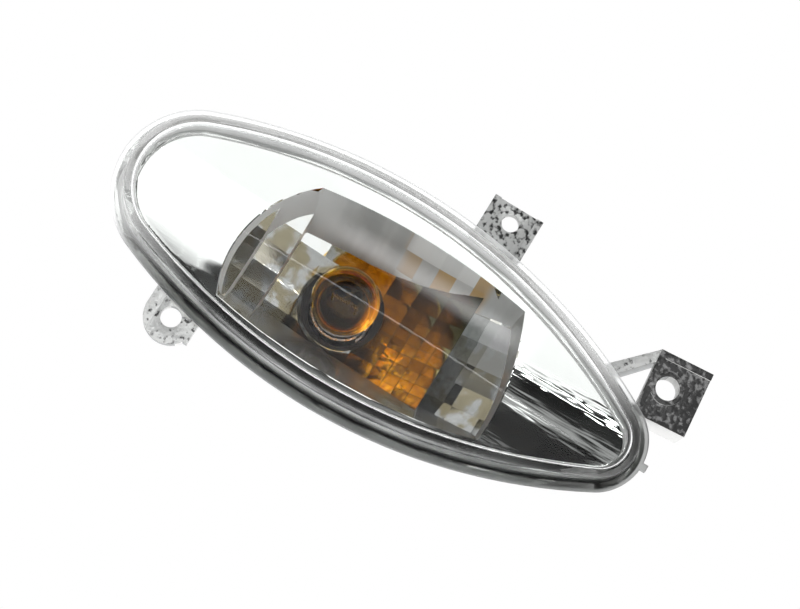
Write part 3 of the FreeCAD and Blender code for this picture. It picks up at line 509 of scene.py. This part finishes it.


# Marks faces by where they are and how they face: the pocket's floor and walls, the ears, and the joint under the
# lens, the ears' sides and the back, which carry no metal, a face being at the back if it is turned away from a
# point behind the lens; and gives the pocket's faces painted reflection tones
def markReflector(mesh, r):
    count = len(mesh.polygons)
    centre, normal = np.zeros(count * 3), np.zeros(count * 3)
    mesh.polygons.foreach_get("center", centre)
    mesh.polygons.foreach_get("normal", normal)
    x, y, z = centre.reshape(-1, 3).T / mm
    normal = normal.reshape(-1, 3)
    nx, ny, nz = normal.T
    lensX, lensY = r["lensPoint"]
    pocketFrom, pocketTo = r["pocketX"]
    wallTurn = r["wallTurn"]
    lensSide = nx * (lensX - x) + ny * (lensY - y) - nz * z > 0
    inPocket = lensSide & (ny < r["edgeOn"]) & (y > r["pocketY"]) & (np.abs(z) < r["pocketZ"])
    inPocket = inPocket & (x > pocketFrom) & (x < pocketTo)
    facets = inPocket & (ny < -wallTurn) & (y > r["floorY"])
    upperWall = inPocket & (nz < -r["upperTurn"])
    lowerWall = inPocket & (nz > wallTurn)
    endWall = inPocket & (nx > wallTurn) & (x < r["endWallX"])
    amberFrom, amberTo = r["amberSpan"]
    tipWall = inPocket & (nx < -wallTurn) & (x > amberTo) & ~facets
    inset = insetOf(x, z, outline)
    beyond = (y > r["earY"]) & (inset < r["earReach"])
    ears = earMarks(x, z, beyond & (ny < -r["edgeOn"]), r)
    bare = (ears == 0) & ((y < r["jointY"]) & (inset < r["jointReach"]) | beyond & lensSide)
    # painted reflection tones: drawn per facet, painted bright along the big end's top row, darker on the collar
    # and set on the lower wall
    tone = np.where(inPocket & ~upperWall, paintedReflectionTones(x, z, r), 1.0)
    paintedBrightTop = facets & (x < r["topRow"][0]) & (z > r["topRow"][1])
    collar = inPocket & ~facets & (np.hypot(x, z) < r["collar"])
    for chosen, own in ((paintedBrightTop, r["toneRange"][1]), (lowerWall, r["lowerWall"]), (collar, r["collarTone"])):
        tone = np.where(chosen, own, tone)
    satin = np.where(upperWall | endWall, 1.0, np.where(tipWall, r["tipSatin"], 0.0))
    satin = np.where(lowerWall, r["lowerSatin"], satin)
    # facets painted with a reflection of the amber bulb
    paintedBulbReflection = facets & (x > amberFrom) & (x < amberTo)
    marks = {"satin": satin, "ear": ears, "bare": bare, "floor": facets, "paintedBulbReflection": paintedBulbReflection, "tone": tone,
             "back": ~lensSide & (ears == 0)}
    for name, mask in marks.items():
        mesh.attributes.new(name, "FLOAT", "FACE").data.foreach_set("value", mask.astype(np.float32))
    mesh.polygons.foreach_set("use_smooth", ~(facets | lowerWall))
    weighEdges(mesh, normal, facets, r)


# Place in a grid, counted in its cells
def cellsOf(tree, source, start, size):
    return maths(tree, "DIVIDE", maths(tree, "SUBTRACT", source, start * mm), size * mm)


# Way from the middle of a cell, from -0.5 to 0.5
def fromMiddle(tree, cells):
    return maths(tree, "SUBTRACT", maths(tree, "FRACT", cells), 0.5)


# Height of a facet's soft crown in metres: falls off with the square of the way from the middle of its cell,
# with the moulding's fine peel added
def facetSwell(tree, r):
    place = placeOn(tree)
    bigSide = maths(tree, "LESS_THAN", place["X"], 0.0)
    along = maths(tree, "ADD", place["X"], times(tree, bigSide, r["bigEndShift"] * mm))
    total = times(tree, placeGrain(tree, r["peelScale"])["Height"], r["peelDepth"] * mm)
    for axis, source in enumerate((along, place["Z"])):
        middle = fromMiddle(tree, cellsOf(tree, source, r["cellStart"][axis], r["cell"][axis]))
        total = maths(tree, "SUBTRACT", total, times(tree, middle, middle, r["pillow"][axis] * mm))
    return total


# A fixed random draw for each cell of a grid along and across the lamp, and how near a place is to its cell's
# edge: 0 at the middle and 0.5 at the edge
def cellDraws(tree, start, size):
    place = placeOn(tree)
    nearEdge, corner = 0.0, []
    for axis, source in enumerate((place["X"], place["Z"])):
        cells = cellsOf(tree, source, start[axis], size[axis])
        corner.append(maths(tree, "FLOOR", cells))
        nearEdge = maths(tree, "MAXIMUM", maths(tree, "ABSOLUTE", fromMiddle(tree, cells)), nearEdge)
    cell = addNode(tree, "CombineXYZ", {"X": corner[0], "Z": corner[1]}).outputs[0]
    return addNode(tree, "TexWhiteNoise", {"Vector": cell}).outputs["Value"], nearEdge


# Painted reflection tone of small facets drawn only in the colour: the draw of each, painted darker along its edges
def paintedSmallFacets(tree, r):
    drawn, nearEdge = cellDraws(tree, r["cellStart"], r["small"])
    low, high = r["smallRange"]
    own = addNode(tree, "MapRange", {"Value": drawn, "To Min": low, "To Max": high}).outputs["Result"]
    return times(tree, own, fade(tree, nearEdge, *r["smallEdge"], 1.0, r["smallLine"]))


# Colour of the mirror with painted reflections: its cast times its painted reflection tone, the cast being olive in
# patches of the darker facets, and a painted gold reflection of the bulb on those that mirror it
def mirrorColourAndPaintedReflections(tree, r):
    paintedBulbReflection = attribute(tree, "paintedBulbReflection")
    small = addNode(tree, "Mix", {0: paintedBulbReflection, 2: 1.0, 3: paintedSmallFacets(tree, r)}).outputs[0]
    tone = times(tree, attribute(tree, "tone"), small)
    patches = placeGrain(tree, r["oliveScale"], *r["oliveEdge"])["Mask"]
    share = times(tree, patches, maths(tree, "SUBTRACT", 1.0, tone))
    cast = blend(tree, share, colour(*r["mirror"]), colour(*r["olive"]))
    cast = blend(tree, paintedBulbReflection, cast, colour(*r["paintedBulbReflection"]))
    return addNode(tree, "Mix", {0: 1.0, 6: cast, 7: tone}, data_type="RGBA", blend_type="MULTIPLY").outputs[2]


# Colour of the satin walls: soft bands, painted lighter at the big end, with painted amber reflections of the bulb
# and painted pale highlights in blocks by the bulb
def wallColourAndPaintedLight(tree, r, along):
    bands = placeGrain(tree, r["bandScale"], stretch=r["bandStretch"])["Mask"]
    wall = blend(tree, bands, colour(*r["satin"]), colour(*r["satinLight"]))
    wall = blend(tree, fadeMm(tree, along, r["wallPaintedLightSpan"], 1.0, 0.0), wall, colour(*r["wallPaintedLight"]))
    byBulb = hump(tree, along, r["blockSpan"])
    drawn = cellDraws(tree, r["blockStart"], r["block"])[0]
    amberReflection = times(tree, byBulb, fade(tree, drawn, *r["bulbReflectionBlock"], 0.0, 1.0))
    paleHighlight = times(tree, byBulb, fade(tree, drawn, *r["highlightBlock"], 1.0, 0.0))
    return blend(tree, paleHighlight, blend(tree, amberReflection, wall, colour(*r["wallPaintedBulbReflection"])), colour(*r["wallPaintedLight"]))


# The metal film with the plain faces, the pocket's painted reflections and painted light, and the ears dark where
# the blotches rise over a level of their own
def reflectorMaterial(r):
    material, tree, shader = newMaterial("metallised")
    satin, ear, bare, back = (attribute(tree, name) for name in ("satin", "ear", "bare", "back"))
    along = placeOn(tree)["X"]
    blotch = placeGrain(tree, r["earScale"])
    onEar = maths(tree, "GREATER_THAN", ear, r["earLeast"])
    base = blend(tree, satin, mirrorColourAndPaintedReflections(tree, r), wallColourAndPaintedLight(tree, r, along))
    base = blend(tree, bare, base, colour(*r["bare"]))
    base = blend(tree, back, base, blend(tree, blotch["Mask"], colour(*r["back"]), colour(*r["backLow"])))
    plate = fade(tree, ear, *r["earMidFrom"], 0.0, 1.0)
    base = blend(tree, onEar, base, blend(tree, plate, colour(*r["earLight"]), colour(*r["earMid"])))
    risen = maths(tree, "ADD", blotch["Height"], times(tree, ear, r["earShift"]))
    darkBlotches = times(tree, fade(tree, risen, *r["earEdge"], 0.0, 1.0), onEar)
    dull = gather(tree, "MAXIMUM", satin, back, bare, times(tree, onEar, r["earDull"]))
    rough = fade(tree, satin, 0.0, 1.0, r["mirrorRoughness"], r["satinRoughness"])
    rough = gather(tree, "MAXIMUM", rough, times(tree, back, r["backRoughness"]),
                   times(tree, bare, r["bareRoughness"]))
    waves = placeGrain(tree, r["waveScale"], stretch=r["waveStretch"], detail=r["waveDetail"])["Height"]
    depth = maths(tree, "ADD", fadeMm(tree, along, r["waveSpan"], 0.0, r["waveDepth"] * mm),
                  fadeMm(tree, along, r["bigWaveSpan"], r["bigWaveDepth"] * mm, 0.0))
    height = gather(tree, "ADD", times(tree, waves, attribute(tree, "dish"), depth),
                    times(tree, facetSwell(tree, r), attribute(tree, "floor")),
                    times(tree, blotch["Height"], onEar, r["earDepth"] * mm))
    wire(tree, shader, Base_Color=blend(tree, darkBlotches, base, colour(*r["earDark"])),
         Metallic=maths(tree, "SUBTRACT", 1.0, dull), Roughness=rough, Normal=addBump(tree, height, 1.0))
    return material


def addReflector(r):
    piece = mergedCopy("reflector_housing", "reflectorShell", r)
    markReflector(piece.data, r)
    piece.data.materials.append(reflectorMaterial(r))
    bevel = piece.modifiers.new("edges", "BEVEL")
    bevel.width = r["bevel"] * mm
    bevel.segments = r["bevelSteps"]
    bevel.limit_method = "WEIGHT"
    bevel.harden_normals = True
    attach(piece, "root")
    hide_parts("reflector_housing")
    return piece


shell = addReflector(reflector)
print("reflector: edges rounded, walls and ears marked")

# Smooth dish round the pocket, laid just in front of the solid's own, in mm
dish = {
    "middle": (9.5, 8.0),          # along the lamp, and depth there
    "longRadius": 450.0,
    "crossRadius": 55.0,
    "inset": 6.0,                  # of its outer edge from the outline
    "pocketMiddle": (8.0, 0.0),
    "pocketMargin": 0.3,
    "outlineRoom": 0.3,            # between the pocket's edges and the dish's outer edge
    "onDish": 0.01,                # how near the dish an edge's end lies to count as on it
    "lift": 0.06,
    "rays": 720,
    "rings": 26,
    "edgeSteps": 24,
    "farthest": 90.0,
    "halvings": 40,
}


# Depth of the dish: the outer side of a ring with the cross radius as its tube, the tube's far side being the
# long radius away from its centre
def dishDepth(x, z, d):
    far = d["longRadius"] - d["crossRadius"] + np.sqrt(d["crossRadius"] ** 2 - z ** 2)
    return d["middle"][1] - d["longRadius"] + np.sqrt(far ** 2 - (x - d["middle"][0]) ** 2)


# Reach of the pocket's mouth along each ray: the ends of sharp edges that lie on the dish, in order round the
# pocket's middle, joined by straight pieces
def pocketReach(mesh, angle, d):
    place, weight = np.zeros(len(mesh.vertices) * 3), np.zeros(len(mesh.edges))
    ends = np.zeros(len(mesh.edges) * 2, dtype=int)
    mesh.vertices.foreach_get("co", place)
    mesh.edges.foreach_get("vertices", ends)
    mesh.attributes["bevel_weight_edge"].data.foreach_get("value", weight)
    x, y, z = place.reshape(-1, 3)[np.unique(ends.reshape(-1, 2)[weight > 0.5])].T / mm
    keep = (np.abs(z) < d["crossRadius"]) & (insetOf(x, z, outline) > d["inset"] + d["outlineRoom"])
    x, y, z = x[keep], y[keep], z[keep]
    onDish = np.abs(y - dishDepth(x, z, d)) < d["onDish"]
    x, z = x[onDish] - d["pocketMiddle"][0], z[onDish] - d["pocketMiddle"][1]
    order = np.argsort(np.arctan2(z, x))
    corner = np.stack([x, z], axis=1)[order]
    step = np.linspace(0, 1, d["edgeSteps"], endpoint=False)[None, :, None]
    edge = (corner[:, None, :] * (1 - step) + np.roll(corner, -1, axis=0)[:, None, :] * step).reshape(-1, 2)
    edgeX, edgeZ = edge.T
    return np.interp(angle, np.arctan2(edgeZ, edgeX), np.hypot(edgeX, edgeZ), period=2 * np.pi)


# Reach of the dish's outer edge along each ray, found by halving
def outlineReach(angle, d):
    low, high = np.zeros_like(angle), np.full_like(angle, d["farthest"])
    middleX, middleZ = d["pocketMiddle"]
    for halving in range(d["halvings"]):
        middle = (low + high) / 2
        inside = insetOf(middleX + middle * np.cos(angle), middleZ + middle * np.sin(angle), outline) > d["inset"]
        low, high = np.where(inside, middle, low), np.where(inside, high, middle)
    return low


# A closed strip of quads between rings of points that run the same way round
def ringFaces(rings, rays):
    ring, ray = np.meshgrid(np.arange(rings - 1), np.arange(rays), indexing="ij")
    after = (ray + 1) % rays
    here, there = ring * rays, (ring + 1) * rays
    return np.stack([here + ray, here + after, there + after, there + ray], axis=-1).reshape(-1, 4)


def addPiece(name, points, faces, material):
    mesh = bpy.data.meshes.new(name)
    mesh.from_pydata(points * mm, [], faces)
    mesh.polygons.foreach_set("use_smooth", np.ones(len(faces), dtype=bool))
    mesh.materials.append(material)
    piece = bpy.data.objects.new(name, mesh)
    scene.collection.objects.link(piece)
    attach(piece, "root")
    return piece


# The dish: along each ray even steps from the pocket's reach to the outline's, lifted off the solid
def addDish(d, shell):
    angle = np.linspace(-np.pi, np.pi, d["rays"], endpoint=False)
    inner = pocketReach(shell.data, angle, d) + d["pocketMargin"]
    outer = outlineReach(angle, d)
    part = np.linspace(0, 1, d["rings"])[:, None]
    reach = inner * (1 - part) + outer * part
    middleX, middleZ = d["pocketMiddle"]
    x, z = middleX + reach * np.cos(angle), middleZ + reach * np.sin(angle)
    points = np.stack([x, dishDepth(x, z, d) - d["lift"], z], axis=-1).reshape(-1, 3)
    faces = ringFaces(d["rings"], d["rays"])[:, ::-1]
    piece = addPiece("reflectorDish", points, faces, shell.data.materials[0])
    full = np.ones(len(piece.data.polygons), dtype=np.float32)
    for name in ("tone", "dish"):
        piece.data.attributes.new(name, "FLOAT", "FACE").data.foreach_set("value", full)
    print("dish: pocket reach", inner.min().round(2), inner.max().round(2), "outline", outer.min().round(2))


addDish(dish, shell)

# Clear mouldings and glass, with places in mm
smearEdge = (0.45, 0.80)
lensLook = {
    "tint": (0.985, 0.99, 0.99),
    "ior": 1.25,
    "haze": (0.0, 0.012),
    "scale": 90.0,
    "frost": 0.42,                 # of the rim
    "frostFrom": (-6.5, -4.0),     # y
    # rim colours: the upper side painted light, the lower side painted in shade
    "edge": (0.80, 0.805, 0.805),
    "edgePaintedShade": (0.34, 0.345, 0.34),
    "edgeFrom": (-5.0, -2.0),      # y
    # faint painted glow on the rim, stronger towards the upper side
    "glow": 0.15,
    "glowUp": (-16.0, 4.0),        # z, leaning along x
    "glowLean": -0.25,
    # painted sheen: a soft band of reflection painted on the dome
    "sheen": 0.10,
    "sheenAcross": (3.0, 7.0, 7.0, 12.0),
    "sheenAlong": (-16.0, -2.0, 36.0, 48.0),
}
bulbLook = {
    "tint": (1.0, 0.62, 0.06),
    "ior": 1.3,
    "haze": (0.0, 0.05),
    "scale": 160.0,
    "fleck": (0.72, 0.36, 0.03),
    "fleckScale": 700.0,
    "fleckEdge": (0.50, 0.62),
    "paintedGlow": (0.17, 0.072, 0.003),   # painted glow on the tip's side of the unlit bulb
    "paintedGlowFrom": (5.0, 9.0),         # x
    "paintedGlint": (0.95, 0.50, 0.05),   # a painted glint in it, low on that side
    "paintedGlintFrom": (6.6, 8.2),       # x
    "paintedGlintDown": (0.5, -2.5),      # z
}
# stem glass tinted dark brown, as painted shade for the dark middle of the bulb
stemLook = {"tint": (0.12, 0.08, 0.06), "ior": 1.5, "haze": (0.02, 0.10), "scale": 300.0}


def newGlass(name, look, **sockets):
    material, tree, shader = newMaterial(name, Base_Color=colour(*look["tint"]), Transmission_Weight=1.0,
                                         IOR=look["ior"], **sockets)
    smear = placeGrain(tree, look["scale"], *smearEdge)["Mask"]
    return material, tree, shader, fade(tree, smear, 0.0, 1.0, *look["haze"])


# The lens: its rim is frosted, tinted with painted light on the upper side and painted shade below, and has a faint
# painted glow, more so towards the upper side; a painted sheen, a hump across times a hump along, lies on the dome
def lensMaterial(look):
    material, tree, shader, haze = newGlass("lensClear", look, Emission_Strength=1.0)
    place = placeOn(tree)
    frost = fadeMm(tree, place["Y"], look["frostFrom"], 0.0, look["frost"])
    rise = maths(tree, "ADD", place["Z"], times(tree, place["X"], look["glowLean"]))
    lifted = fadeMm(tree, rise, look["glowUp"])
    glow = times(tree, fadeMm(tree, place["Y"], look["frostFrom"], 0.0, look["glow"]), lifted)
    sheen = times(tree, look["sheen"], hump(tree, place["Z"], look["sheenAcross"]),
                  hump(tree, place["X"], look["sheenAlong"]))
    edge = blend(tree, lifted, colour(*look["edgePaintedShade"]), colour(*look["edge"]))
    atEdge = fadeMm(tree, place["Y"], look["edgeFrom"])
    wire(tree, shader, Base_Color=blend(tree, atEdge, colour(*look["tint"]), edge),
         Roughness=maths(tree, "MAXIMUM", haze, frost), Emission_Color=maths(tree, "ADD", glow, sheen))
    return material


# The bulb: flecked lacquer with a painted glow on the tip's side, though the bulb is unlit, and a painted glint in
# the flecks low down
def bulbMaterial(look):
    material, tree, shader, haze = newGlass("amberGlass", look, Emission_Strength=1.0)
    flecks = placeGrain(tree, look["fleckScale"], *look["fleckEdge"])["Mask"]
    place = placeOn(tree)
    paintedGlow = blend(tree, fadeMm(tree, place["X"], look["paintedGlowFrom"]), colour(0, 0, 0), colour(*look["paintedGlow"]))
    paintedGlint = times(tree, fadeMm(tree, place["X"], look["paintedGlintFrom"]),
                  fadeMm(tree, place["Z"], look["paintedGlintDown"]), flecks)
    wire(tree, shader, Base_Color=blend(tree, flecks, colour(*look["tint"]), colour(*look["fleck"])),
         Roughness=haze, Emission_Color=blend(tree, paintedGlint, paintedGlow, colour(*look["paintedGlint"])))
    return material


def stemMaterial(look):
    material, tree, shader, haze = newGlass("stemGlass", look)
    wire(tree, shader, Roughness=haze)
    return material


finishes = {
    "sealant": {"first": (0.84, 0.84, 0.83), "second": (0.74, 0.74, 0.73), "roughness": (0.3, 0.5), "scale": 120.0},
    "blackNylon": {"first": (0.018, 0.018, 0.019), "second": (0.030, 0.030, 0.031), "roughness": (0.36, 0.52),
                   "scale": 700.0, "bump": 0.02},
    "rubber": {"first": (0.012, 0.012, 0.012), "second": (0.022, 0.021, 0.020), "roughness": (0.6, 0.8),
               "scale": 500.0},
    # nickel painted dark brown, as painted shade for the dark middle of the bulb
    "nickelPaintedShade": {"first": (0.16, 0.12, 0.09), "second": (0.10, 0.075, 0.055), "roughness": (0.16, 0.30),
               "scale": 260.0, "metallic": 1.0},
    "zinc": {"first": (0.66, 0.67, 0.69), "second": (0.54, 0.55, 0.57), "roughness": (0.24, 0.42), "scale": 340.0,
             "metallic": 1.0},
    "brass": {"first": (0.78, 0.58, 0.26), "second": (0.66, 0.47, 0.20), "roughness": (0.20, 0.38), "scale": 300.0,
              "metallic": 1.0},
    "solder": {"first": (0.60, 0.60, 0.60), "second": (0.45, 0.45, 0.46), "roughness": (0.25, 0.45), "scale": 600.0,
               "metallic": 1.0},
    "springSteel": {"first": (0.48, 0.47, 0.46), "second": (0.36, 0.35, 0.34), "roughness": (0.22, 0.36),
                    "scale": 500.0, "metallic": 1.0},
    "wire": {"first": (0.16, 0.14, 0.12), "second": (0.10, 0.09, 0.08), "roughness": (0.25, 0.40), "scale": 900.0,
             "metallic": 1.0},
    "fibreBoard": {"first": (0.34, 0.20, 0.10), "second": (0.26, 0.15, 0.08), "roughness": (0.55, 0.75),
                   "scale": 800.0, "bump": 0.02},
    "blackGlass": {"first": (0.010, 0.010, 0.012), "second": (0.018, 0.018, 0.020), "roughness": (0.05, 0.15),
                   "scale": 400.0},
}
materials = {name: grainedMaterial(name, look) for name, look in finishes.items()}
materials["lensClear"] = lensMaterial(lensLook)
materials["amberGlass"] = bulbMaterial(bulbLook)
materials["stemGlass"] = stemMaterial(stemLook)
wears = {
    "lens": "lensClear", "lens_seal": "sealant", "bulb_glass": "amberGlass", "glass_stem": "stemGlass",
    "bulb_cap": "nickelPaintedShade", "bulb_locking_pins": "nickelPaintedShade", "bulb_insulator": "blackGlass",
    "bulb_end_contact": "solder", "filament_supports": "wire", "filament": "wire",
    "bulb_holder_body": "blackNylon", "holder_seal": "rubber", "socket_sleeve": "zinc",
    "contact_plate": "fibreBoard", "contact_plunger": "brass", "contact_spring": "springSteel",
    "live_terminal": "brass", "earth_terminal": "brass", "reflector_housing": "zinc",
}
for name, node in nodes.items():
    node.data.materials.clear()
    node.data.materials.append(materials[wears[name]])
print("finish: materials on", len(nodes), "nodes")
